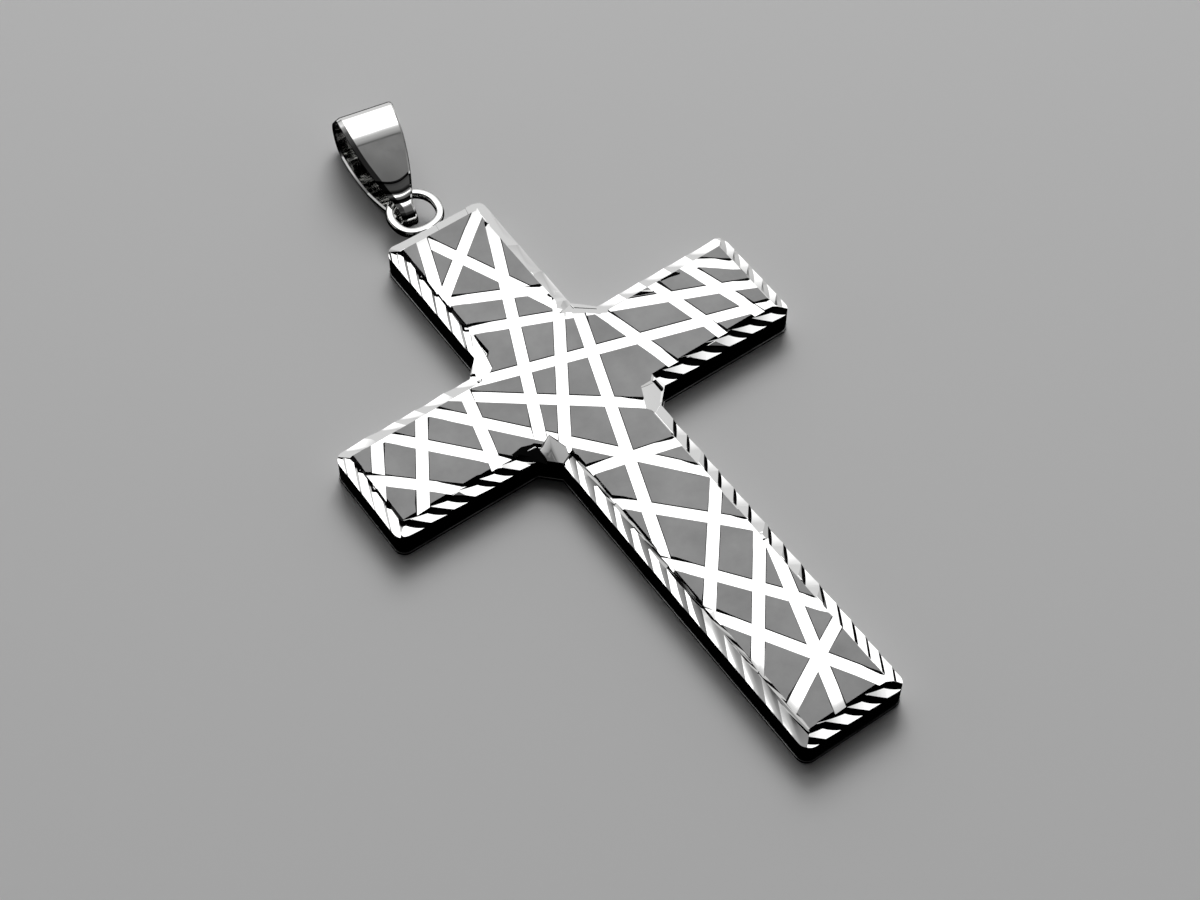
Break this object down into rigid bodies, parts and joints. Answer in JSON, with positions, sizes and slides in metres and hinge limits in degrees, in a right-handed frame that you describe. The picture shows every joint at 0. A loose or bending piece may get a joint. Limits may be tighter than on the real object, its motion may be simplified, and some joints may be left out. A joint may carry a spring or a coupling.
{
  "type": "cross pendant with a strap bail",
  "caption": "Solid silver cross with a diamond-cut rim, a matte face crossed by bright-cut lines, a soldered top ring and a tapered strap bail that swings in it.",
  "frame": {"origin": "on the flat back of the cross, below the point where the middle lines of the upright and the arms cross", "axes": "+Y along the upright to the bail, +Z out of the cut face, +X along the arms, to the right as the face is seen"},
  "size_m": [0.0338, 0.0625, 0.0045],
  "materials": {
    "cross_silver": "polished silver, bright-cut, with a matte grey field on the face",
    "bail_silver": "polished silver"
  },
  "bodies": {
    "pendant": {"cross": "cross_silver"},
    "bail": {"bail": "bail_silver"}
  },
  "joints": [
    {"name": "bail_swing", "type": "hinge", "parent": "pendant", "child": "bail", "pos_m": [-0.0002, 0.02092, 0.0016], "axis": [1, 0, 0], "range_deg": [-100, 100]}
  ]
}
